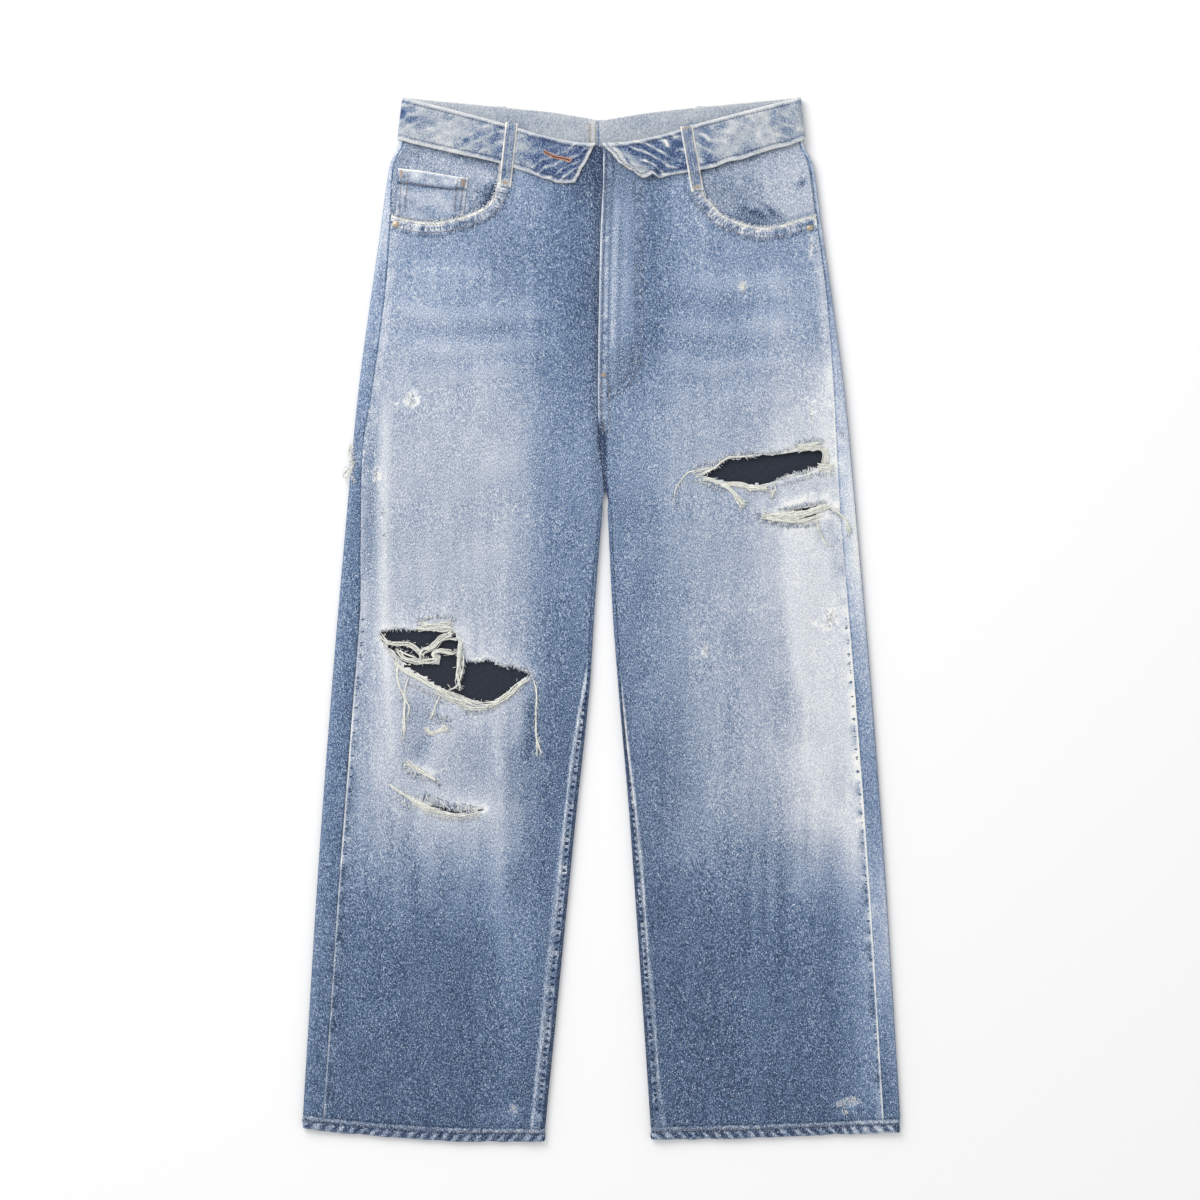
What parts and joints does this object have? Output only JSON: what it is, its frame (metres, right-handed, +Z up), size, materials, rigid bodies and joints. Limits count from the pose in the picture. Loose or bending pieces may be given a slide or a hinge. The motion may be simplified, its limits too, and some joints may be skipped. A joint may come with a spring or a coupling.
{
  "type": "ripped jeans",
  "caption": "Wide-leg ripped denim jeans laid flat on their back, waistband turned down outward, rips at thigh and knee over dark backing cloth.",
  "frame": {"origin": "centre of the box's bottom face: on the surface the jeans lie on, midway between waist and hems", "axes": "+Z up from that surface, the front of the jeans facing up; +Y from the hems to the waist; the wearer's left leg at +X"},
  "size_m": [0.5969, 1.0433, 0.0131],
  "materials": {
    "denim": "washed mid-blue denim, faded to pale blue on thighs and knees, matte twill",
    "waistband_denim": "pale wrong side of washed denim with darker blue patches, matte",
    "pocketing": "plain cotton pocketing, matte",
    "zip": "woven zip tape with its closed metal chain",
    "backing": "dark charcoal plain-weave cloth, matte",
    "rivet": "aged brass",
    "button": "aged brass"
  },
  "bodies": {
    "root": {"front_right": "denim", "front_left": "denim", "back_right": "denim", "back_left": "denim", "yoke_right": "denim", "yoke_left": "denim", "waistband_right": "waistband_denim", "waistband_left": "waistband_denim", "pocket_facing_right": "denim", "pocket_facing_left": "denim", "pocket_bag_right": "pocketing", "pocket_bag_left": "pocketing", "coin_pocket": "denim", "back_pocket_right": "denim", "back_pocket_left": "denim", "hem_right": "denim", "hem_left": "denim", "fly_facing": "denim", "fly_shield": "denim", "zip_tape": "zip", "belt_loop_front_right": "denim", "belt_loop_front_left": "denim", "belt_loop_back_right": "denim", "belt_loop_back_centre": "denim", "belt_loop_back_left": "denim", "rip_backing_right": "backing", "rip_backing_left": "backing", "rivet_right": "rivet", "rivet_left": "rivet", "button": "button"}
  },
  "joints": []
}
